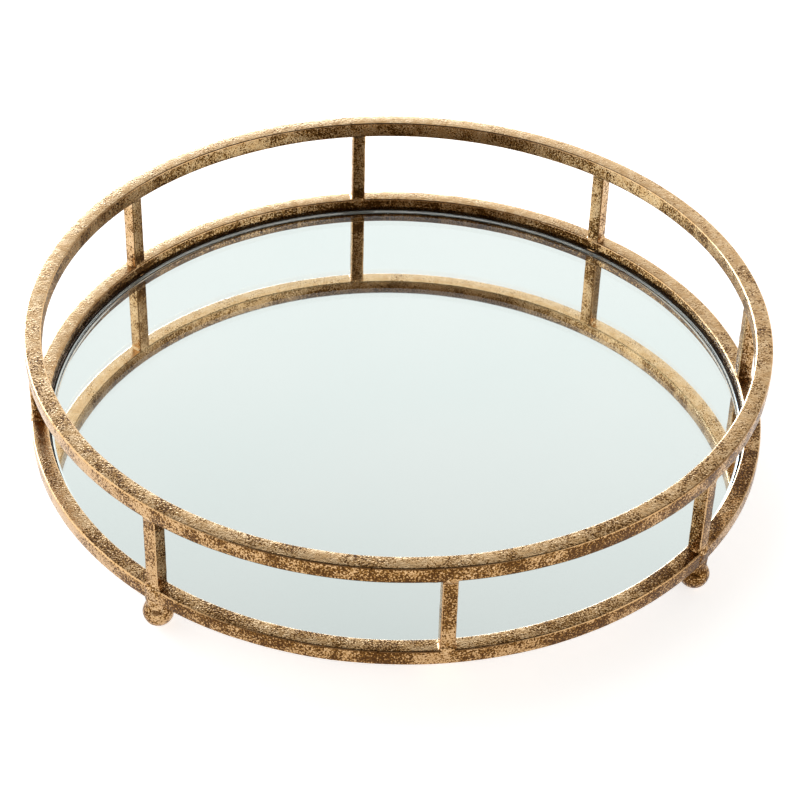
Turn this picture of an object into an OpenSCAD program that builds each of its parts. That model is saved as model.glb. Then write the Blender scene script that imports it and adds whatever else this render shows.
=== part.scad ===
// Round dresser vanity tray: a mirror set inside a low open rail of square metal bar,
// carried on ball feet. Origin on the table under the tray's centre, +Z up, front towards -Y.
// All sizes in millimetres.

/* [Rail] */
// Outer diameter of both rings
tray_d = 300; // [200:1:420]
// Height from the top of the base ring to the top of the top ring
rail_rise = 41.2; // [24:0.1:80]
// Side of the top ring's square bar
top_bar = 7.2; // [6.3:0.1:9]
// Side of the base ring's square bar
base_bar = 7; // [6.3:0.1:9]
// Corner radius of the ring bars
bar_round = 1; // [0.4:0.1:1.5]

/* [Posts] */
// Side of each post's square bar
post_w = 5.9; // [3:0.1:6]
// Corner radius of the posts
post_round = 0.7; // [0.3:0.1:1.2]
// Leg of the weld fillet round each end of a post
weld_leg = 1.7; // [0.8:0.1:2.5]

/* [Feet] */
// Diameter of each ball foot
ball_d = 12; // [9:0.5:20]
// Gap between the base ring and the top of a ball
ball_gap = 1; // [0.2:0.1:4]
// How far the weld neck above a ball stands out past each side of the base ring's bar
neck_proud = 0.6; // [0:0.1:0.7]
// Radius of the fillet between a neck and its ball
neck_fillet = 3; // [1:0.5:5]
// Thickness of the weld pad on the outer face of the base ring above a ball
pad_t = 0.4; // [0.2:0.1:1]

/* [Mirror] */
// Thickness of the mirror glass
glass_t = 3; // [2:0.5:5]
// Depth of the glass face below the top of the base ring
glass_inset = 4.9; // [3:0.1:5.5]
// Clearance between the edge of the glass and the base ring
glass_gap = 0.9; // [0.8:0.1:3]
// Width of the polished bevel round the glass
glass_arris = 0.4; // [0.2:0.1:0.8]
// Thickness of the bead of sealant between the edge of the glass and the base ring
seal_t = 0.7; // [0.3:0.1:0.7]
// Thickness of the backing board
board_t = 4; // [3:0.5:6]
// Clearance between a ball foot and the backing board
board_gap = 1.2; // [0.6:0.1:6]

/* [Clips] */
// Width of each clip
clip_w = 14; // [10:1:24]
// Thickness of the clip's sheet
clip_t = 1.2; // [0.8:0.1:1.6]
// Inside radius of the clip's bends
clip_bend = 0.5; // [0.3:0.1:1]
// Clearance between the edge of the glass and a clip
clip_gap = 0.8; // [0.3:0.1:2]
// Reach of the clip's lip under the backing board
clip_hold = 10; // [7:0.5:20]
// Length of the clip's flange under the base ring
clip_flange = 4.5; // [3.5:0.1:5]

/* [Screws] */
// Diameter of the screw's shank
screw_d = 2.9; // [2:0.1:3.5]
// Diameter of the screw's head
head_d = 5.6; // [4.5:0.1:7]
// Height of the screw's head
head_h = 1.8; // [1.2:0.1:2.5]
// Depth of the screw in the backing board
screw_bite = 2.6; // [1.5:0.1:2.8]
// Clearance round the screw in the clip's hole
hole_gap = 0.25; // [0.1:0.05:0.5]

/* [Hidden] */
tray_r = tray_d / 2;
base_z = ball_d + ball_gap;             // underside of the base ring
deck_z = base_z + base_bar;             // top of the base ring
rim_z = deck_z + rail_rise;             // top of the top ring
post_len = rail_rise - top_bar;
post_r = tray_r - min(top_bar, base_bar) / 2; // circle of posts, centred on the slimmer bar
foot_r = tray_r - base_bar / 2;         // circle of feet, centred on the base ring's bar
ball_r = ball_d / 2;
neck_share = 0.9;                       // widest neck, as a share of its ball
neck_r = min(base_bar / 2 + neck_proud, neck_share * ball_r);
pad_w = post_w + 2 * weld_leg;
glass_r = tray_r - base_bar - glass_gap;
glass_z = deck_z - glass_inset - glass_t;
board_z = glass_z - board_t;
// The board passes inside the balls at their widest and inside the necks.
board_r = foot_r - max(ball_r, neck_r) - board_gap;
clip_leg_r = glass_r + clip_gap;        // inner face of the clip's upright leg
clip_lip = clip_leg_r - board_r + clip_hold;
screw_r = board_r - clip_hold / 2;      // radius of the circle of screws
cross_w = 0.9;                          // width of the screw's cross recess
cross_l = 0.6 * head_d;
cross_h = 0.6 * head_h;
ring_fn = 180;
bar_fn = 32;
eighth = 45;                            // degrees between neighbouring posts

gold = "#b8935f";

// Turns its children by a number of eighths of a circle, counted from +X towards +Y.
module turned(eighths) {
    rotate([0, 0, eighths * eighth]) children();
}

// Square with rounded corners, centred.
module bar_section(side, radius) {
    flat = side - 2 * radius;
    square([flat, side], center = true);
    square([side, flat], center = true);
    for (x = [-1, 1], y = [-1, 1])
        translate([x * flat / 2, y * flat / 2]) circle(r = radius, $fn = bar_fn);
}

// Ring of square bar, its underside at z = 0 and its outer face at the tray's radius.
module bar_ring(side) {
    rotate_extrude($fn = ring_fn)
        translate([tray_r - side / 2, side / 2]) bar_section(side, bar_round);
}

module top_ring() {
    color(gold) translate([0, 0, rim_z - top_bar]) bar_ring(top_bar);
}

module base_ring() {
    color(gold) translate([0, 0, base_z]) bar_ring(base_bar);
}

module post_bar() {
    translate([post_r, 0, 0]) linear_extrude(post_len) bar_section(post_w, post_round);
}

module post(eighths) {
    color(gold) turned(eighths) translate([0, 0, deck_z]) post_bar();
}

// Concave weld fillet round the foot of a post at z = 0, standing on a ring of the given bar.
module post_weld(side) {
    reach = post_w / 2 + weld_leg;
    difference() {
        intersection() {
            translate([post_r, 0, 0]) rotate_extrude($fn = bar_fn) difference() {
                translate([0, -bar_round]) square([reach, bar_round + weld_leg]);
                translate([reach, weld_leg]) circle(r = weld_leg, $fn = bar_fn);
            }
            rotate_extrude($fn = ring_fn)
                translate([tray_r - side, -bar_round]) square([side, bar_round + weld_leg]);
        }
        translate([0, 0, -side]) bar_ring(side);
        post_bar();
    }
}

module lower_post_welds() {
    color(gold) for (k = [0:7]) turned(k) translate([0, 0, deck_z]) post_weld(base_bar);
}

module upper_post_welds() {
    color(gold) for (k = [0:7])
        turned(k) translate([0, 0, rim_z - top_bar]) mirror([0, 0, 1]) post_weld(top_bar);
}

module foot_ball() {
    translate([foot_r, 0, ball_r]) sphere(r = ball_r, $fn = 64);
}

module ball_foot(eighths) {
    color(gold) turned(eighths) foot_ball();
}

// Half section of the weld neck from inside the ball up to the base ring, flared on to the ball.
module neck_section() {
    rise = sqrt(pow(ball_r + neck_fillet, 2) - pow(neck_r + neck_fillet, 2));
    share = ball_r / (ball_r + neck_fillet);
    touch_r = share * (neck_r + neck_fillet);
    touch_z = ball_r + share * rise;
    difference() {
        translate([0, touch_z]) square([touch_r, base_z - touch_z]);
        translate([neck_r + neck_fillet, ball_r + rise]) circle(r = neck_fillet, $fn = 64);
        translate([neck_r, ball_r + rise]) square([neck_fillet, base_z]);
    }
}

// Weld that joins a ball to the base ring: a round neck, and a pad up the ring's outer face.
module foot_neck(eighths) {
    color(gold) turned(eighths) difference() {
        union() {
            translate([foot_r, 0, 0]) rotate_extrude($fn = 64) neck_section();
            intersection() {
                translate([0, 0, base_z - pad_t]) rotate_extrude($fn = ring_fn)
                    translate([foot_r, 0]) square([tray_r + pad_t - foot_r, base_bar + pad_t]);
                translate([foot_r, -pad_w / 2, 0]) cube([tray_r, pad_w, deck_z - bar_round]);
            }
        }
        translate([0, 0, base_z]) bar_ring(base_bar);
        foot_ball();
    }
}

// Disc with its sharp edges ground off.
module mirror_glass() {
    color("#d3dddb") translate([0, 0, glass_z]) rotate_extrude($fn = ring_fn)
        polygon([
            [0, 0], [glass_r - glass_arris, 0], [glass_r, glass_arris],
            [glass_r, glass_t - glass_arris], [glass_r - glass_arris, glass_t], [0, glass_t]
        ]);
}

// Bead in the clearance round the glass, level with the foot of the glass's upper bevel.
module edge_seal() {
    color("#2b2622") translate([0, 0, glass_z + glass_t - glass_arris - seal_t])
        rotate_extrude($fn = ring_fn) translate([glass_r, 0]) square([glass_gap, seal_t]);
}

module backing_board() {
    color("#3a302a") difference() {
        translate([0, 0, board_z]) cylinder(r = board_r, h = board_t, $fn = ring_fn);
        for (k = [0:2:6])
            turned(k) translate([screw_r, 0, board_z - 1])
                cylinder(d = screw_d, h = 1 + screw_bite, $fn = bar_fn);
    }
}

// Quarter bend of the clip's sheet about the origin, filling x > 0 and y > 0.
module bend_section() {
    intersection() {
        difference() {
            circle(r = clip_bend + clip_t, $fn = bar_fn);
            circle(r = clip_bend, $fn = bar_fn);
        }
        square(clip_bend + clip_t);
    }
}

// Side view of a clip, radius along x: flange under the ring, leg down past the edges of the
// glass and the board, and lip under the board.
module clip_section() {
    turn = clip_bend + clip_t;
    lip_z = board_z - clip_t;
    square_up = base_z - lip_z;
    translate([clip_leg_r + turn, base_z - clip_t]) square([clip_flange - turn, clip_t]);
    translate([clip_leg_r + turn, base_z - turn]) mirror([1, 0]) bend_section();
    translate([clip_leg_r, board_z + clip_bend])
        square([clip_t, square_up - clip_t - clip_bend - turn]);
    translate([clip_leg_r - clip_bend, board_z + clip_bend]) mirror([0, 1]) bend_section();
    translate([clip_leg_r - clip_lip, lip_z]) square([clip_lip - clip_bend, clip_t]);
}

module clip(eighths) {
    color(gold) turned(eighths) difference() {
        rotate([90, 0, 0]) translate([0, 0, -clip_w / 2]) linear_extrude(clip_w) clip_section();
        translate([screw_r, 0, board_z - 2 * clip_t])
            cylinder(r = screw_d / 2 + hole_gap, h = 3 * clip_t, $fn = bar_fn);
    }
}

// Pan-head screw driven upwards, with its head against the underside of the clip.
module screw() {
    seat_z = board_z - clip_t;
    dome = head_h / 2;
    translate([screw_r, 0, seat_z]) difference() {
        union() {
            cylinder(d = screw_d, h = clip_t + screw_bite, $fn = bar_fn);
            mirror([0, 0, 1]) rotate_extrude($fn = bar_fn) {
                square([head_d / 2, head_h - dome]);
                square([head_d / 2 - dome, head_h]);
                intersection() {
                    translate([head_d / 2 - dome, head_h - dome]) circle(r = dome, $fn = bar_fn);
                    square([head_d / 2, head_h]);
                }
            }
        }
        for (a = [0, 90])
            rotate([0, 0, a]) translate([-cross_l / 2, -cross_w / 2, -head_h - 1])
                cube([cross_l, cross_w, 1 + cross_h]);
    }
}

module clip_screws() {
    color("#8c8a86") for (k = [0:2:6]) turned(k) screw();
}

top_ring();
base_ring();
post(0);  // post_right
post(1);  // post_back_right
post(2);  // post_back
post(3);  // post_back_left
post(4);  // post_left
post(5);  // post_front_left
post(6);  // post_front
post(7);  // post_front_right
upper_post_welds();
lower_post_welds();
ball_foot(1);  // ball_foot_back_right
ball_foot(3);  // ball_foot_back_left
ball_foot(5);  // ball_foot_front_left
ball_foot(7);  // ball_foot_front_right
foot_neck(1);  // foot_neck_back_right
foot_neck(3);  // foot_neck_back_left
foot_neck(5);  // foot_neck_front_left
foot_neck(7);  // foot_neck_front_right
mirror_glass();
edge_seal();
backing_board();
clip(0);  // clip_right
clip(2);  // clip_back
clip(4);  // clip_left
clip(6);  // clip_front
clip_screws();
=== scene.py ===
"""Looks of a round vanity tray: a mirror inside a low gilt rail of square bar, on four ball feet.

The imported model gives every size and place. Each gilt piece is a surface worked out on a grid,
in metres, with the front of the tray towards -Y.
"""

import math

import bpy
import numpy as np
from mathutils import Matrix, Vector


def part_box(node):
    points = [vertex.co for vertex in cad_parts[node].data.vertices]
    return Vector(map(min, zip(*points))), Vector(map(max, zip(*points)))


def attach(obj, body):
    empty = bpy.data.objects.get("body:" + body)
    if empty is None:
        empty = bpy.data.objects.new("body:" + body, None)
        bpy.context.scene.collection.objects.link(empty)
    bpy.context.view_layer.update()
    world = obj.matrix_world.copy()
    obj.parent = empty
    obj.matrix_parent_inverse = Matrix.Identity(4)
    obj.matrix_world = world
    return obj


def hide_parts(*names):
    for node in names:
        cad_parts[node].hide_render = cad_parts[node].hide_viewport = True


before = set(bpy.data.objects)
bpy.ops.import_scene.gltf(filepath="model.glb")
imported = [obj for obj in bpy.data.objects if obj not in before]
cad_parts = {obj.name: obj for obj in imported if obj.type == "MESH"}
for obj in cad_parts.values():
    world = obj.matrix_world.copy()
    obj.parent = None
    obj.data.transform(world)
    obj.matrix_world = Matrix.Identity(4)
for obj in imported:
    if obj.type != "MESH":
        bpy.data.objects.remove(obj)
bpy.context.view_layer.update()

MM = 0.001
TURN = 2 * math.pi


# ---------------------------------------------------------------- sizes read from the frame

def span(node):
    """Lowest and highest corner of a node as two arrays."""
    low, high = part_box(node)
    return np.array(low), np.array(high)


top_low, top_high = span("top_ring")
base_low, base_high = span("base_ring")
post_low, post_high = span("post_back")
glass_low, glass_high = span("mirror_glass")
ball_low, ball_high = span("ball_foot_front_left")

tray_r = top_high[0]
rim_z = top_high[2]
top_bar = top_high[2] - top_low[2]
base_bar = base_high[2] - base_low[2]
base_z = base_low[2]
deck_z = base_high[2]
top_under_z = top_low[2]
post_half = (post_high[0] - post_low[0]) / 2
post_r = (post_low[1] + post_high[1]) / 2
ball_r = (ball_high[2] - ball_low[2]) / 2
ball_z = ball_low[2] + ball_r
foot_r = math.hypot(*(ball_low[:2] + ball_high[:2]) / 2)
glass_r = glass_high[0]

BAR_ROUND = 0.7 * MM            # corner radius of the ring bars
BAR_CROWN = math.radians(5)     # lean of a ring's face where it meets a corner
POST_ROUND = 0.5 * MM           # corner radius of the posts
POST_CROWN = math.radians(4)    # lean of a post's face where it meets a corner
POST_SUNK = 0.5 * MM            # how far a post's ends run into the rings
BUTT_RISE = 0.12 * MM           # height of the dressed butt weld in each ring
BUTT_REACH = 1.3 * MM           # half its width
WELD_LEG = 0.9 * MM             # leg of the fillet round the end of a post
WELD_RUN = 2.8 * MM             # how far that weld runs out over the ring
WELD_SKIN = 0.03 * MM           # its thickness where it runs out
WELD_INSET = 0.15 * MM          # how far it keeps back from the ring's inner face
WELD_FULLNESS = 0.92            # its fillet, as a share of a full quarter circle
PAD_PROUD = 0.4 * MM            # how far a foot's weld stands out of the base ring's outer face
GLASS_ARRIS = 0.4 * MM          # height of both bevels round the glass, and width of the lower one
GLASS_BEVEL = 0.9 * MM          # width of the upper one
BACK_COAT = 0.04 * MM           # paint between the silvering and the board

SEEDS = {
    "top_ring": 11, "base_ring": 23, "post": 40, "upper_weld": 60, "lower_weld": 80,
    "ball": 100, "foot_weld": 120,
}

EIGHTHS = ("right", "back_right", "back", "back_left", "left", "front_left", "front", "front_right")
FEET = ("back_right", "back_left", "front_left", "front_right")


def bearing_of(side):
    """Angle of an eighth of the circle, counted from +X towards +Y."""
    return EIGHTHS.index(side) * TURN / 8


TOP_SEAM = bearing_of("front") - 0.037    # butt weld of the top ring, just left of the front post
BASE_SEAM = bearing_of("back") + 0.2      # butt weld of the base ring, left of the back post


# ---------------------------------------------------------------- surfaces

def grid_quads(rows, columns, rows_meet, columns_meet):
    """Corner numbers of the quads between neighbouring lines of a grid of points."""
    row = np.arange(rows if rows_meet else rows - 1)[:, None]
    column = np.arange(columns if columns_meet else columns - 1)[None, :]
    next_row = (row + 1) % rows
    next_column = (column + 1) % columns
    corners = (
        row * columns + column, row * columns + next_column,
        next_row * columns + next_column, next_row * columns + column,
    )
    return np.stack(corners, -1).reshape(-1, 4)


def marks(wear, outer, shape):
    """Two numbers for each point of a grid: how worn it is, and how squarely it faces outwards."""
    return np.stack([np.broadcast_to(wear, shape), np.broadcast_to(outer, shape)], -1)


def closed_ring(points, marked):
    """Shell of a grid whose rows and columns both close on themselves, as on a hoop."""
    rows, columns = points.shape[:2]
    quads = grid_quads(rows, columns, True, True)
    return points.reshape(-1, 3), quads, np.zeros((0, 3), int), marked.reshape(-1, 2)


def capped_tube(points, marked):
    """Shell of a grid whose rows are closed sections, with a pole in the middle of each end row."""
    rows, columns = points.shape[:2]
    quads = grid_quads(rows, columns, False, True)
    here = np.arange(columns)
    after = (here + 1) % columns
    first, last = rows * columns, rows * columns + 1
    near_cap = np.stack([np.full(columns, first), after, here], -1)
    far_row = (rows - 1) * columns
    far_cap = np.stack([np.full(columns, last), far_row + here, far_row + after], -1)
    poles = np.stack([points[0].mean(0), points[-1].mean(0)])
    everything = np.concatenate([points.reshape(-1, 3), poles])
    on_all = np.concatenate([marked.reshape(-1, 2), marked[[0, -1]].mean(1)])
    return everything, quads, np.concatenate([near_cap, far_cap]), on_all


def facing_out(shell):
    """The shell with its faces turned outwards, so that the volume summed over them is positive."""
    points, quads, triangles, marked = shell
    corners = np.concatenate([quads[:, [0, 1, 2]], quads[:, [0, 2, 3]], triangles])
    a, b, c = points[corners[:, 0]], points[corners[:, 1]], points[corners[:, 2]]
    if np.einsum("ij,ij->i", a, np.cross(b, c)).sum() < 0:
        return points, quads[:, ::-1], triangles[:, ::-1], marked
    return shell


def fill_mesh(mesh, shells):
    """Puts the shells side by side into one mesh, with their marks as numbers on each point."""
    shells = [facing_out(shell) for shell in shells]
    starts = np.cumsum([0] + [len(shell[0]) for shell in shells])
    points = np.concatenate([shell[0] for shell in shells])
    quads = np.concatenate([shell[1] + start for shell, start in zip(shells, starts)])
    triangles = np.concatenate([shell[2] + start for shell, start in zip(shells, starts)])
    corners = np.concatenate([quads.ravel(), triangles.ravel()]).astype(np.int32)
    first_of_triangles = 4 * len(quads) + 3 * np.arange(len(triangles))
    first = np.concatenate([4 * np.arange(len(quads)), first_of_triangles])
    mesh.vertices.add(len(points))
    mesh.vertices.foreach_set("co", points.astype(np.float32).ravel())
    mesh.loops.add(len(corners))
    mesh.loops.foreach_set("vertex_index", corners)
    mesh.polygons.add(len(first))
    mesh.polygons.foreach_set("loop_start", first.astype(np.int32))
    mesh.polygons.foreach_set("use_smooth", np.ones(len(first), bool))
    mesh.update(calc_edges=True)
    marked = np.concatenate([shell[3] for shell in shells]).astype(np.float32)
    for name, column in (("wear", 0), ("outer", 1)):
        mesh.attributes.new(name, "FLOAT", "POINT").data.foreach_set("value", marked[:, column].copy())


def piece(name, shells, materials, slot, *nodes):
    """New object in place of the named CAD nodes, riding on the tray's one body."""
    mesh = bpy.data.meshes.new(name)
    fill_mesh(mesh, shells)
    for material in materials:
        mesh.materials.append(material)
    made = bpy.data.objects.new(name, mesh)
    bpy.context.scene.collection.objects.link(made)
    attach(made, "root")
    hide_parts(*nodes)
    return made


def smooth(low, high, x):
    """Rises from 0 at low to 1 at high, level at both ends: 3t^2 - 2t^3."""
    t = np.clip((x - low) / (high - low), 0, 1)
    return t * t * (3 - 2 * t)


def lumps(points, size, height, seed):
    """Smooth uneven height: a sum of plane waves in random directions, each about `size` long."""
    draw = np.random.default_rng(seed)
    total = np.zeros(points.shape[:-1])
    waves = 14
    for _ in range(waves):
        direction = draw.normal(size=3)
        direction *= TURN / (size * draw.uniform(0.6, 1.7) * np.linalg.norm(direction))
        total += np.sin(points @ direction + draw.uniform(0, TURN))
    return height * total / math.sqrt(waves / 2)


def bar_section(half, corner, crown, side_steps=12, corner_steps=8):
    """Section of drawn square bar, by its curvature: sides that crown slightly between tight corners.

    The outward direction turns once round. On each side it turns 2 * crown over the side's length,
    and on each corner the rest of the quarter turn at the corner's radius. The points are the
    running sum of (radius of curvature * step of angle) along the tangent, scaled to the bar.
    Gives the points, the outward direction at each, and the wear, sin(pi * t) across a corner.
    """
    side = np.linspace(-crown, crown, side_steps + 1)[:-1]
    bend = np.linspace(crown, math.pi / 2 - crown, corner_steps + 1)[:-1]
    quarter = np.concatenate([side, bend])
    angle = (quarter[None, :] + np.arange(4)[:, None] * math.pi / 2).ravel()
    step_of_angle = np.diff(np.append(angle, angle[0] + TURN))
    side_radius = (half - corner) / crown
    radius = np.tile(np.concatenate([np.full(side_steps, side_radius), np.full(corner_steps, corner)]), 4)
    middle = angle + step_of_angle / 2
    moves = (radius * step_of_angle)[:, None] * np.stack([-np.sin(middle), np.cos(middle)], -1)
    points = np.concatenate([np.zeros((1, 2)), np.cumsum(moves, 0)[:-1]])
    points -= (points.max(0) + points.min(0)) / 2
    points *= half / points.max()
    across = np.clip((quarter - crown) / (math.pi / 2 - 2 * crown), 0, 1)
    return points, np.stack([np.cos(angle), np.sin(angle)], -1), np.tile(np.sin(math.pi * across), 4)


# ---------------------------------------------------------------- gilt rail, posts and welds

def rolled_ring(mid_z, bar, seam, seed):
    """Square bar rolled into a hoop: the bar's section carried round a circle.

    Point (a, s) = circle at angle a + section point s, moved along the section's outward
    direction by the bar's uneven leafing, and by the dressed butt weld near the seam.
    """
    section, outward, wear = bar_section(bar / 2, BAR_ROUND, BAR_CROWN)
    angle = np.linspace(0, TURN, 1080, endpoint=False)[:, None]
    reach = tray_r - bar / 2 + section[:, 0]
    height = mid_z + section[:, 1] + 0 * angle
    points = np.stack([reach * np.cos(angle), reach * np.sin(angle), height], -1)
    away = np.abs((angle - seam + math.pi) % TURN - math.pi) * tray_r
    weld = BUTT_RISE * np.exp(-(away / BUTT_REACH) ** 2)
    leafing = lumps(points, 9 * MM, 0.01 * MM, seed)
    rolling = lumps(points, 40 * MM, 0.03 * MM, seed + 1)
    rise = leafing + rolling + weld
    out = np.stack([
        outward[:, 0] * np.cos(angle), outward[:, 0] * np.sin(angle), outward[:, 1] + 0 * angle,
    ], -1)
    return closed_ring(points + out * rise[..., None], marks(wear, outward[:, 0], rise.shape))


def set_up(local, bearing, radius):
    """Places points given as (outward, along the ring, up) at a bearing and a radius."""
    outward = radius + local[..., 0]
    along = local[..., 1]
    x = outward * math.cos(bearing) - along * math.sin(bearing)
    y = outward * math.sin(bearing) + along * math.cos(bearing)
    return np.stack([x, y, local[..., 2]], -1)


def post_shell(bearing, seed):
    """Square bar stood between the rings: its section carried straight up, ends sunk in the rings."""
    section, outward, wear = bar_section(post_half, POST_ROUND, POST_CROWN, 8, 6)
    height = np.linspace(deck_z - POST_SUNK, top_under_z + POST_SUNK, 60)[:, None]
    still = 0 * height
    x, y = section.T
    local = np.stack([x + still, y + still, height + 0 * x], -1)
    rise = lumps(local, 7 * MM, 0.03 * MM, seed)
    out = np.stack([outward[:, 0] + still, outward[:, 1] + still, 0 * rise], -1)
    local += out * rise[..., None]
    return capped_tube(set_up(local, bearing, post_r), marks(wear, outward[:, 0], rise.shape))


def soft_square(steps, squareness):
    """Points of |x|^n + |y|^n = 1, one row for each squareness n: 2 is a circle, 8 nearly a square."""
    angle = np.linspace(0, TURN, steps, endpoint=False)[None, :]
    power = 2 / squareness[:, None]
    x = np.sign(np.cos(angle)) * np.abs(np.cos(angle)) ** power
    y = np.sign(np.sin(angle)) * np.abs(np.sin(angle)) ** power
    return x, y


def sleeve(height, out, inward, side, squareness, steps=64):
    """Tube about an upright line, whose soft square section reaches a different way on each side.

    All five are arrays, with one value for each height.
    """
    x, y = soft_square(steps, squareness)
    across = np.where(x > 0, x * out[:, None], x * inward[:, None])
    return np.stack([across, y * side[:, None], height[:, None] + 0 * x], -1)


def post_weld(bearing, bar, upwards, face_z, seed):
    """Weld fillet round one end of a post, run out over the corner of the ring to its outer face.

    With w the height above the ring's face, the fillet stands out of the post by a quarter
    circle, leg * (1 - sqrt(1 - (1 - w / leg)^2)), and the outer side by a smooth ramp. Lower
    down it sinks into the bar, and its sides taper.
    """
    above = 1.1 * WELD_LEG
    w = np.linspace(above, -WELD_RUN, 40)
    share = np.clip(1 - w / WELD_LEG, 0, 1)
    fillet = WELD_FULLNESS * WELD_LEG * (1 - np.sqrt(1 - share ** 2))
    flush = tray_r - post_r + WELD_SKIN
    hidden = WELD_SKIN * smooth(0.8 * WELD_LEG, above, w)    # top edge slips into the post
    sink = 0.35 * MM * smooth(-1.2 * MM, -WELD_RUN, w)       # lower edge slips into the ring
    taper = 0.4 * MM * smooth(-0.2 * MM, -WELD_RUN, w)       # sides draw in on the way down
    ramp = smooth(1.5 * MM, -0.7 * MM, w)                    # from the post's face to the ring's
    out = post_half + (flush - post_half) * ramp - sink - hidden
    inner_room = post_r - (tray_r - bar) - WELD_INSET
    inward = np.minimum(post_half + 0.5 * fillet, inner_room) - hidden
    side = post_half + fillet - taper - hidden
    squareness = 8 - 4.6 * smooth(WELD_LEG, 0, w)            # square on the post, rounder below
    height = face_z + w * upwards
    local = sleeve(height, out, inward, side, squareness)
    ripples = lumps(local, 1.9 * MM, 0.012, seed) * smooth(1.5 * MM, 0.8 * MM, w)[:, None]
    local[..., :2] *= 1 + ripples[..., None]
    return capped_tube(set_up(local, bearing, post_r), marks(0, 0.5, local.shape[:2]))


def foot_ball(bearing, seed):
    """Ball foot: a sphere by its two angles, a little uneven under its leaf."""
    lift = np.linspace(-math.pi / 2, math.pi / 2, 50)[1:-1, None]
    angle = np.linspace(0, TURN, 96, endpoint=False)[None, :]
    level = np.cos(lift)
    ray = np.stack([level * np.cos(angle), level * np.sin(angle), np.sin(lift) + 0 * angle], -1)
    dent = lumps(ray * ball_r, 6 * MM, 0.035 * MM, seed) * level
    local = ray * (ball_r + dent[..., None])
    local[..., 2] += ball_z
    return capped_tube(set_up(local, bearing, foot_r), marks(0, 0.5, dent.shape))


def eased(heights, values, at):
    """Smooth curve through a few (height, value) points: a cubic with matched slopes on each stretch."""
    slope = np.gradient(values, heights)
    k = np.clip(np.searchsorted(heights, at) - 1, 0, len(heights) - 2)
    step = heights[k + 1] - heights[k]
    t = (at - heights[k]) / step
    return (
        values[k] * (1 + 2 * t) * (1 - t) ** 2 + slope[k] * step * t * (1 - t) ** 2
        + values[k + 1] * t * t * (3 - 2 * t) + slope[k + 1] * step * t * t * (t - 1)
    )


def foot_weld(bearing, seed):
    """Weld from a ball up to the base ring and over its outer face to the post's foot.

    One sleeve whose half widths follow smooth curves of the height: round on the ball, waisted
    under the ring, then a pad that stands a little proud of the ring's outer face. On the ball,
    each width w is blended with the ball's own b: (w + b + sqrt((w - b)^2 + soft^2)) / 2.
    """
    face = (tray_r - foot_r + PAD_PROUD) / MM
    post_face = (post_r + post_half - foot_r) / MM
    # At each height: reach outwards, inwards and to each side, in millimetres, and squareness.
    stations = (
        (ball_z, 3.9, 3.8, 4.4, 2),                           # middle of the ball
        (base_z - 1.1 * MM, 4.2, 4.1, 4.7, 2.1),              # waist under the ring
        (base_z + 0.8 * MM, face + 0.05, 3.9, 4.8, 2.8),      # ring's lower corner
        (base_z + base_bar / 2, face, 2.6, 4.6, 3.4),         # middle of its outer face
        (deck_z - 0.9 * MM, face - 0.02, 2.2, 4.2, 3.4),      # its upper corner
        (deck_z + 0.9 * MM, post_face + 0.2, 2.0, 3.3, 4),    # foot of the post
        (deck_z + 2.6 * MM, post_face - 0.1, 2.0, post_half / MM - 0.08, 7),  # run out on the post
    )
    heights, out, inward, side, squareness = np.array(stations).T
    z = np.linspace(heights[0], heights[-1], 100)
    on_ball = np.sqrt(np.clip(ball_r ** 2 - (z - ball_z) ** 2, 0, None)) - 0.06 * MM
    soft = 0.6 * MM
    widths = [eased(heights, curve * MM, z) for curve in (out, inward, side)]
    widths = [(width + on_ball + np.sqrt((width - on_ball) ** 2 + soft ** 2)) / 2 for width in widths]
    local = sleeve(z, *widths, eased(heights, squareness, z), 96)
    edge = smooth(ball_z + 0.6 * ball_r, base_z, z) * smooth(heights[-1], heights[-2], z)
    ripples = lumps(local, 3.2 * MM, 0.012, seed) * edge[:, None]
    local[..., :2] *= 1 + ripples[..., None]
    return capped_tube(set_up(local, bearing, foot_r), marks(0, 0.5, local.shape[:2]))


# ---------------------------------------------------------------- mirror glass

def glass_shell():
    """Round pane: the line underside, bevel, edge, bevel, face turned about the upright axis."""
    low, high = glass_low[2] + BACK_COAT, glass_high[2]
    back, face = glass_r - GLASS_ARRIS, glass_r - GLASS_BEVEL
    radii = [0.4 * back, 0.8 * back, back, glass_r, glass_r, face, 0.8 * back, 0.4 * back]
    levels = [low, low, low, low + GLASS_ARRIS, high - GLASS_ARRIS, high, high, high]
    angle = np.linspace(0, TURN, 360, endpoint=False)[None, :]
    radius = np.array(radii)[:, None]
    height = np.array(levels)[:, None] + 0 * angle
    points = np.stack([radius * np.cos(angle), radius * np.sin(angle), height], -1)
    return capped_tube(points, marks(0, 0, points.shape[:2]))


# ---------------------------------------------------------------- materials

def new_material(name):
    """Plain node material, its node tree and its shader."""
    material = bpy.data.materials.new(name)
    material.use_nodes = True
    tree = material.node_tree
    return material, tree, tree.nodes["Principled BSDF"]


def set_input(tree, socket, value):
    """Links a socket to the input, or sets a plain number or colour on it."""
    if isinstance(value, bpy.types.NodeSocket):
        tree.links.new(value, socket)
    elif value is not None:
        socket.default_value = value


def place(tree):
    """Object coordinates, in metres."""
    return tree.nodes.new("ShaderNodeTexCoord").outputs["Object"]


def noise(tree, at, per_metre, detail=3.0, roughness=0.55, warp=0.0):
    """Cloudy noise from 0 to 1 with that many features to the metre."""
    node = tree.nodes.new("ShaderNodeTexNoise")
    tree.links.new(at, node.inputs["Vector"])
    node.inputs["Scale"].default_value = per_metre
    node.inputs["Detail"].default_value = detail
    node.inputs["Roughness"].default_value = roughness
    node.inputs["Distortion"].default_value = warp
    return node.outputs["Fac"]


def number(tree, operation, first, second):
    """One step of arithmetic."""
    node = tree.nodes.new("ShaderNodeMath")
    node.operation = operation
    set_input(tree, node.inputs[0], first)
    set_input(tree, node.inputs[1], second)
    return node.outputs[0]


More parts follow.
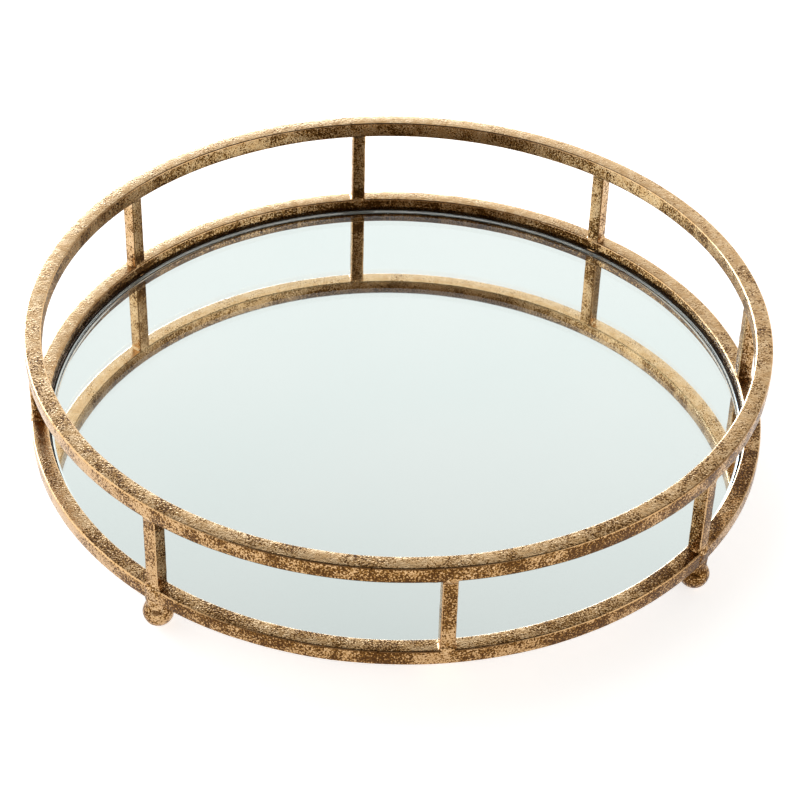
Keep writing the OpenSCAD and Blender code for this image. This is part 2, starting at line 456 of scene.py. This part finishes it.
def step(tree, value, low, high, to_low=0.0, to_high=1.0):
    """Smooth step from to_low to to_high as the value passes from low to high."""
    node = tree.nodes.new("ShaderNodeMapRange")
    node.interpolation_type = "SMOOTHSTEP"
    for name, entry in (("Value", value), ("From Min", low), ("From Max", high),
                        ("To Min", to_low), ("To Max", to_high)):
        set_input(tree, node.inputs[name], entry)
    return node.outputs["Result"]


def blend(tree, share, first, second):
    """Mix of two colours."""
    node = tree.nodes.new("ShaderNodeMix")
    node.data_type = "RGBA"
    set_input(tree, node.inputs["Factor"], share)
    set_input(tree, node.inputs["A"], first)
    set_input(tree, node.inputs["B"], second)
    return node.outputs["Result"]


def bump(tree, height, depth):
    """Normal from a height from 0 to 1, that many metres deep."""
    node = tree.nodes.new("ShaderNodeBump")
    node.inputs["Distance"].default_value = depth
    node.inputs["Strength"].default_value = 1.0
    tree.links.new(height, node.inputs["Height"])
    return node.outputs["Normal"]


PALE_LEAF = (0.72, 0.50, 0.285, 1)
WARM_LEAF = (0.60, 0.375, 0.18, 1)
UMBER = (0.30, 0.145, 0.034, 1)        # thin glaze
SOOT = (0.085, 0.032, 0.004, 1)        # glaze pooled in the deepest hollows


def near(tree, at, bearing, full, gone):
    """1 on the tray's side within `full` degrees of a bearing, falling to 0 at `gone` degrees."""
    flat = tree.nodes.new("ShaderNodeVectorMath")
    flat.operation = "MULTIPLY"
    flat.inputs[1].default_value = (1, 1, 0)
    tree.links.new(at, flat.inputs[0])
    unit = tree.nodes.new("ShaderNodeVectorMath")
    unit.operation = "NORMALIZE"
    tree.links.new(flat.outputs[0], unit.inputs[0])
    dot = tree.nodes.new("ShaderNodeVectorMath")
    dot.operation = "DOT_PRODUCT"
    a = math.radians(bearing)
    dot.inputs[1].default_value = (math.cos(a), math.sin(a), 0)
    tree.links.new(unit.outputs[0], dot.inputs[0])
    return step(tree, dot.outputs["Value"], math.cos(math.radians(gone)), math.cos(math.radians(full)))


def mark(tree, name):
    """One of the numbers that the mesh carries on its points."""
    node = tree.nodes.new("ShaderNodeAttribute")
    node.attribute_name = name
    return node.outputs["Fac"]


def times(tree, *parts):
    """Product of sockets and numbers."""
    total = parts[0]
    for part in parts[1:]:
        total = number(tree, "MULTIPLY", total, part)
    return total


def glaze_and_painted_light_share(tree, at, usual):
    """How much of the leaf lies under glaze: random patches, plus painted shade as more glaze in front,
    most low at the front right, and painted light as less glaze behind.
    """
    patches = step(tree, noise(tree, at, 85, 3, 0.6, 0.6), 0.3, 0.7, 0.6 * usual, 1.4 * usual)
    split = tree.nodes.new("ShaderNodeSeparateXYZ")
    tree.links.new(at, split.inputs[0])
    height = split.outputs["Z"]
    low_down = step(tree, height, deck_z + 12 * MM, deck_z + 2 * MM)
    on_post = times(tree, step(tree, height, deck_z + 1 * MM, deck_z + 3 * MM),
                    step(tree, height, top_under_z - 1 * MM, top_under_z - 3 * MM))
    outer = mark(tree, "outer")
    outside = step(tree, outer, 0.3, 0.9)
    inside = step(tree, outer, -0.3, -0.9)
    upright = number(tree, "MAXIMUM", outside, inside)
    on_top = number(tree, "SUBTRACT", 1.0, number(tree, "MAXIMUM", on_post, upright))
    high_up = number(tree, "SUBTRACT", 1.0, low_down)
    front = near(tree, at, 278, 35, 75)
    not_front = number(tree, "SUBTRACT", 1.0, front)
    share = patches
    # The extras by side stand for light, not glaze: added glaze is painted shade on the outer faces in
    # front, the base ring's top at the right and its inner wall; glaze taken off is painted light on the
    # top ring's top at the front right, the tops behind and the other outer faces.
    for extra, *where in (
        (0.16, front, outside),                                   # outer faces in front
        (-0.05, near(tree, at, 300, 25, 60), on_top, high_up),    # top ring's top, front right
        (0.16, near(tree, at, 335, 12, 45), low_down, on_top),    # base ring's top, at the right
        (-0.24, near(tree, at, 95, 60, 115), on_top),             # both tops at the back
        (-0.12, not_front, outside),                              # outer faces elsewhere
        (0.15, low_down, inside),                                 # base ring's inner wall
    ):
        share = number(tree, "ADD", share, times(tree, *where, extra))
    return times(tree, share, step(tree, mark(tree, "wear"), 0, 0.8, 1, 0.45))


def antique_leaf(name, grain_depth=0.2 * MM, ground_share=0.48, shine=0.22):
    """Metal leaf laid over a grainy ground, with umber glaze left in the hollows of the grain.

    The grain is a relief fine enough to sparkle: each little slope mirrors another part of the
    room. The glaze shows where the grain lies low, in random patches and, as painted shade and
    light, more on some sides of the tray than on others. The leaf is also painted less pale on
    faces turned outwards: painted shade.
    """
    material, tree, shader = new_material(name)
    at = place(tree)
    grain = noise(tree, at, 1150, 2, 0.5, 0.4)
    hollows = noise(tree, at, 1500, 1, 0.5, 0.3)
    tone = noise(tree, at, 260, 4, 0.65)
    share = glaze_and_painted_light_share(tree, at, ground_share)
    low = number(tree, "ADD", times(tree, grain, 0.35), times(tree, hollows, 0.65))
    level = step(tree, share, 0, 1, 0.34, 0.66)
    depth = number(tree, "SUBTRACT", level, low)
    # Where the umber shows: real glaze in the grain's hollows, its amount also painted shade and light by
    # side.
    glaze = step(tree, depth, -0.03, 0.03)
    pits = step(tree, depth, 0.03, 0.11)
    # Leaf painted less pale on faces turned outwards: painted shade.
    pale = times(tree, step(tree, tone, 0.35, 0.68), step(tree, mark(tree, "outer"), 0.3, 0.9, 1, 0.35))
    leaf = blend(tree, pale, WARM_LEAF, PALE_LEAF)
    colour = blend(tree, pits, blend(tree, glaze, leaf, UMBER), SOOT)
    tree.links.new(colour, shader.inputs["Base Color"])
    tree.links.new(step(tree, pits, 0, 1, 1.0, 0.9), shader.inputs["Metallic"])
    dull = step(tree, glaze, 0, 1, shine, shine + 0.12)
    rough = number(tree, "ADD", dull, step(tree, tone, 0.3, 0.7, -0.04, 0.04))
    tree.links.new(rough, shader.inputs["Roughness"])
    rubbed = step(tree, mark(tree, "wear"), 0, 0.9, 1, 0.25)
    relief = times(tree, grain, rubbed, step(tree, share, 0.1, 0.6, 0.5, 1.0))
    tree.links.new(bump(tree, relief, grain_depth), shader.inputs["Normal"])
    return material


def float_glass():
    """Clear glass with the faint green of its edge."""
    material, tree, shader = new_material("float_glass")
    at = place(tree)
    wipe = noise(tree, at, 14, 3, 0.6)
    tree.links.new(step(tree, wipe, 0.4, 0.8, 0.0, 0.012), shader.inputs["Roughness"])
    shader.inputs["Base Color"].default_value = (0.95, 0.985, 0.98, 1)
    shader.inputs["Transmission Weight"].default_value = 1.0
    shader.inputs["IOR"].default_value = 1.52
    return material


def ground_edge():
    """Edge of the glass, ground but not polished: pale green-grey, frosted by fine scratches."""
    material, tree, shader = new_material("ground_edge")
    at = place(tree)
    frost = noise(tree, at, 3000, 2, 0.6)
    drift = noise(tree, at, 60, 3, 0.6)
    tint = blend(tree, step(tree, drift, 0.3, 0.7), (0.62, 0.68, 0.67, 1), (0.74, 0.79, 0.78, 1))
    tree.links.new(tint, shader.inputs["Base Color"])
    tree.links.new(step(tree, frost, 0.3, 0.7, 0.35, 0.55), shader.inputs["Roughness"])
    shader.inputs["Transmission Weight"].default_value = 0.25
    shader.inputs["IOR"].default_value = 1.52
    return material


def sealant():
    """Dark rubbery bead, pressed in with a fingertip, near-black as painted shade for the gap round the
    glass: faint ripples along it and a little dust.
    """
    material, tree, shader = new_material("sealant")
    at = place(tree)
    dust = noise(tree, at, 700, 3, 0.6)
    ripple = noise(tree, at, 260, 2, 0.5)
    colour = blend(tree, step(tree, dust, 0.5, 0.75), (0.018, 0.014, 0.011, 1), (0.06, 0.052, 0.044, 1))
    tree.links.new(colour, shader.inputs["Base Color"])
    tree.links.new(step(tree, dust, 0.4, 0.7, 0.42, 0.7), shader.inputs["Roughness"])
    tree.links.new(bump(tree, ripple, 0.2 * MM), shader.inputs["Normal"])
    return material


def silvering():
    """Silver on the underside of the glass, with a faint cool cloudiness."""
    material, tree, shader = new_material("silvering")
    at = place(tree)
    cloud = noise(tree, at, 9, 2, 0.5)
    tint = blend(tree, step(tree, cloud, 0.3, 0.7), (0.895, 0.945, 0.95, 1), (0.92, 0.955, 0.96, 1))
    tree.links.new(tint, shader.inputs["Base Color"])
    shader.inputs["Metallic"].default_value = 1.0
    shader.inputs["Roughness"].default_value = 0.02
    return material


def pressed_board():
    """Brown hardboard: short fibres pressed flat, a few of them pale or dark."""
    material, tree, shader = new_material("pressed_board")
    at = place(tree)
    stretch = tree.nodes.new("ShaderNodeMapping")
    stretch.inputs["Scale"].default_value = (1.0, 0.22, 1.0)
    tree.links.new(at, stretch.inputs["Vector"])
    fibres = noise(tree, stretch.outputs["Vector"], 1500, 4, 0.65, 1.5)
    mottle = noise(tree, at, 60, 4, 0.6)
    brown = blend(tree, step(tree, mottle, 0.3, 0.7), (0.115, 0.062, 0.032, 1), (0.165, 0.096, 0.052, 1))
    pale = blend(tree, step(tree, fibres, 0.56, 0.7), brown, (0.30, 0.20, 0.12, 1))
    dark = blend(tree, step(tree, fibres, 0.44, 0.30), pale, (0.05, 0.027, 0.015, 1))
    tree.links.new(dark, shader.inputs["Base Color"])
    tree.links.new(step(tree, mottle, 0.3, 0.7, 0.5, 0.68), shader.inputs["Roughness"])
    tree.links.new(bump(tree, fibres, 0.12 * MM), shader.inputs["Normal"])
    return material


def zinc_steel():
    """Zinc-plated screw: cool grey with a faint yellow bloom and turned lines."""
    material, tree, shader = new_material("zinc_steel")
    at = place(tree)
    bloom = noise(tree, at, 500, 3, 0.6)
    grain = noise(tree, at, 4500, 2, 0.5)
    colour = blend(tree, step(tree, bloom, 0.35, 0.7), (0.62, 0.63, 0.64, 1), (0.66, 0.62, 0.50, 1))
    tree.links.new(colour, shader.inputs["Base Color"])
    tree.links.new(step(tree, grain, 0.3, 0.7, 0.24, 0.42), shader.inputs["Roughness"])
    tree.links.new(bump(tree, grain, 0.01 * MM), shader.inputs["Normal"])
    shader.inputs["Metallic"].default_value = 1.0
    return material


# ---------------------------------------------------------------- assembly

leaf = antique_leaf("antique_leaf")
foot_leaf = antique_leaf("antique_leaf_feet", 0.12 * MM, ground_share=0.45, shine=0.14)

piece(
    "top_rail", [rolled_ring(rim_z - top_bar / 2, top_bar, TOP_SEAM, SEEDS["top_ring"])],
    [leaf], "rail_metal", "top_ring",
)
piece(
    "base_rail", [rolled_ring(deck_z - base_bar / 2, base_bar, BASE_SEAM, SEEDS["base_ring"])],
    [leaf], "rail_metal", "base_ring",
)

upper_welds, lower_welds = [], []
for k, side in enumerate(EIGHTHS):
    bearing = bearing_of(side)
    post = post_shell(bearing, SEEDS["post"] + k)
    piece(f"rail_post_{side}", [post], [leaf], "rail_metal", f"post_{side}")
    upper_welds.append(post_weld(bearing, top_bar, -1, top_under_z, SEEDS["upper_weld"] + k))
    lower_welds.append(post_weld(bearing, base_bar, 1, deck_z, SEEDS["lower_weld"] + k))
piece("upper_welds", upper_welds, [leaf], "rail_metal", "upper_post_welds")
piece("lower_welds", lower_welds, [leaf], "rail_metal", "lower_post_welds")

for k, side in enumerate(FEET):
    ball = foot_ball(bearing_of(side), SEEDS["ball"] + k)
    weld = foot_weld(bearing_of(side), SEEDS["foot_weld"] + k)
    piece(f"foot_{side}", [ball], [foot_leaf], "foot_metal", f"ball_foot_{side}")
    piece(f"foot_weld_{side}", [weld], [leaf], "foot_metal", f"foot_neck_{side}")


def mirror_pane():
    """Pane of clear glass with a silvered underside and a ground edge, told apart by their lean."""
    materials = [float_glass(), silvering(), ground_edge()]
    faces = piece("mirror_pane", [glass_shell()], materials, "mirror", "mirror_glass").data.polygons
    normals = np.zeros(3 * len(faces), np.float32)
    faces.foreach_get("normal", normals)
    lift = normals[2::3]
    silvered, edge = lift < -0.9, np.abs(lift) < 0.9
    faces.foreach_set("use_smooth", np.abs(lift) < 0.999)
    faces.foreach_set("material_index", (1 * silvered + 2 * edge).astype(np.int32))


mirror_pane()


def dress(node, material):
    """Gives a CAD node its finish."""
    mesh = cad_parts[node].data
    mesh.materials.clear()
    mesh.materials.append(material)


clip_leaf = antique_leaf("antique_leaf_clips", ground_share=0.25)
dress("backing_board", pressed_board())
dress("clip_screws", zinc_steel())
# The seal's near-black stands for the shade in the gap round the glass: painted shade.
dress("edge_seal", sealant())
for side in ("right", "back", "left", "front"):
    dress(f"clip_{side}", clip_leaf)


# ---------------------------------------------------------------- floor, light and camera

VIEW_BEARING = math.radians(-8.27)   # the camera stands left of the tray's front
VIEW_TILT = math.radians(38.92)      # and looks down
VIEW_ROLL = math.radians(1.75)
VIEW_DISTANCE = 0.9743
VIEW_SHIFT = (1.3 * MM, -2.4 * MM)   # right and up, across the view
LENS_MM = 106.05


def floor():
    """Wide pale table top under the feet that glows, its glow painted lower round the tray's front as a
    painted shadow, brightening to white outside it.
    """
    half = 12.0
    corners = [(-half, -half, 0), (half, -half, 0), (half, half, 0), (-half, half, 0)]
    mesh = bpy.data.meshes.new("floor")
    mesh.from_pydata(corners, [], [(0, 1, 2, 3)])
    material, tree, shader = new_material("pale_floor")
    at = place(tree)
    haze = noise(tree, at, 3, 2, 0.5)
    shade = blend(tree, haze, (0.84, 0.84, 0.84, 1), (0.86, 0.86, 0.86, 1))
    tree.links.new(shade, shader.inputs["Base Color"])
    shader.inputs["Roughness"].default_value = 0.9
    shader.inputs["Specular IOR Level"].default_value = 0.1
    ahead = tree.nodes.new("ShaderNodeMapping")
    ahead.inputs["Location"].default_value = (-0.02, 0.06, 0)
    tree.links.new(at, ahead.inputs["Vector"])
    away = tree.nodes.new("ShaderNodeVectorMath")
    away.operation = "LENGTH"
    tree.links.new(ahead.outputs["Vector"], away.inputs[0])
    # Glow lower within about 0.12 to 0.22 m of a point just in front of the tray's middle: painted shadow.
    glow_with_painted_shadow = step(tree, away.outputs["Value"], 0.12, 0.22, 0.72, 0.85)
    shader.inputs["Emission Color"].default_value = (1, 1, 1, 1)
    tree.links.new(glow_with_painted_shadow, shader.inputs["Emission Strength"])
    mesh.materials.append(material)
    ground = bpy.data.objects.new("floor", mesh)
    bpy.context.scene.collection.objects.link(ground)


ROOM = (0.25, 0.19, 0.14)
DAYLIGHT = (0.975, 1.0, 0.985)
COOL_LIGHT = (0.80, 1.0, 1.3)


def studio_light():
    """Light from all round: a dim room, wide daylight behind, a strong patch low down at the back
    left, and two soft lamps at the sides.

    Each part is a smooth step of the direction's height z, times one of its bearing.
    """
    world = bpy.data.worlds.new("studio")
    bpy.context.scene.world = world
    world.use_nodes = True
    tree = world.node_tree
    back = tree.nodes["Background"]
    toward = tree.nodes.new("ShaderNodeTexCoord").outputs["Generated"]
    split = tree.nodes.new("ShaderNodeSeparateXYZ")
    tree.links.new(toward, split.inputs[0])
    level = tree.nodes.new("ShaderNodeVectorMath")
    level.operation = "MULTIPLY"
    level.inputs[1].default_value = (1, 1, 0)
    tree.links.new(toward, level.inputs[0])
    flat = tree.nodes.new("ShaderNodeVectorMath")
    flat.operation = "NORMALIZE"
    tree.links.new(level.outputs[0], flat.inputs[0])

    def around(bearing, full, gone):
        """1 within `full` degrees of a bearing, falling to 0 at `gone` degrees."""
        dot = tree.nodes.new("ShaderNodeVectorMath")
        dot.operation = "DOT_PRODUCT"
        a = math.radians(bearing)
        dot.inputs[1].default_value = (math.cos(a), math.sin(a), 0)
        tree.links.new(flat.outputs[0], dot.inputs[0])
        return step(tree, dot.outputs["Value"], math.cos(math.radians(gone)), math.cos(math.radians(full)))

    def height(full, gone):
        """1 at the height of `full` degrees above the horizon, falling to 0 at `gone` degrees."""
        return step(tree, split.outputs["Z"], math.sin(math.radians(gone)), math.sin(math.radians(full)))

    def light(strength, *parts):
        """Product of the parts, times a strength."""
        for part in parts:
            strength = number(tree, "MULTIPLY", part, strength)
        return strength

    parts = (
        (ROOM, step(tree, split.outputs["Z"], 0.66, 0.80, 0.25, 0.12)),
        (ROOM, light(0.75, around(275, 85, 135), height(42, 54))),
        (DAYLIGHT, light(0.94, around(108, 32, 112), height(34, 84))),
        (DAYLIGHT, light(0.9, around(95, 35, 80), height(8, 33))),
        (COOL_LIGHT, light(8.0, around(114, 12, 42), height(10, 32))),
        (DAYLIGHT, light(1.1, around(326, 10, 36), height(34, 56))),
        (DAYLIGHT, light(0.9, around(182, 12, 38), height(34, 54))),
    )
    total = None
    for colour, share in parts:
        scaled = tree.nodes.new("ShaderNodeVectorMath")
        scaled.operation = "MULTIPLY_ADD"
        scaled.inputs[0].default_value = colour
        set_input(tree, scaled.inputs[1], share)
        set_input(tree, scaled.inputs[2], total)
        total = scaled.outputs[0]
    tree.links.new(total, back.inputs["Color"])


def camera():
    """Long lens on a 36 mm sensor, aimed at the middle of the base ring's top."""
    data = bpy.data.cameras.new("camera")
    data.lens = LENS_MM
    data.sensor_width = 36
    seen = bpy.data.objects.new("camera", data)
    bpy.context.scene.collection.objects.link(seen)
    ahead = (0, math.cos(VIEW_TILT), -math.sin(VIEW_TILT))
    up = (0, math.sin(VIEW_TILT), math.cos(VIEW_TILT))
    to_right, to_up = VIEW_SHIFT
    stand = -VIEW_DISTANCE * np.array(ahead) + to_right * np.array([1, 0, 0]) + to_up * np.array(up)
    cos_b, sin_b = math.cos(VIEW_BEARING), math.sin(VIEW_BEARING)
    x, y = stand[0] * cos_b - stand[1] * sin_b, stand[0] * sin_b + stand[1] * cos_b
    turn = (
        Matrix.Rotation(VIEW_BEARING, 4, "Z") @ Matrix.Rotation(math.pi / 2 - VIEW_TILT, 4, "X")
        @ Matrix.Rotation(VIEW_ROLL, 4, "Z")
    )
    seen.matrix_world = Matrix.Translation((x, y, stand[2] + deck_z)) @ turn
    bpy.context.scene.camera = seen


floor()
studio_light()
camera()
bpy.context.scene.view_settings.view_transform = "Standard"
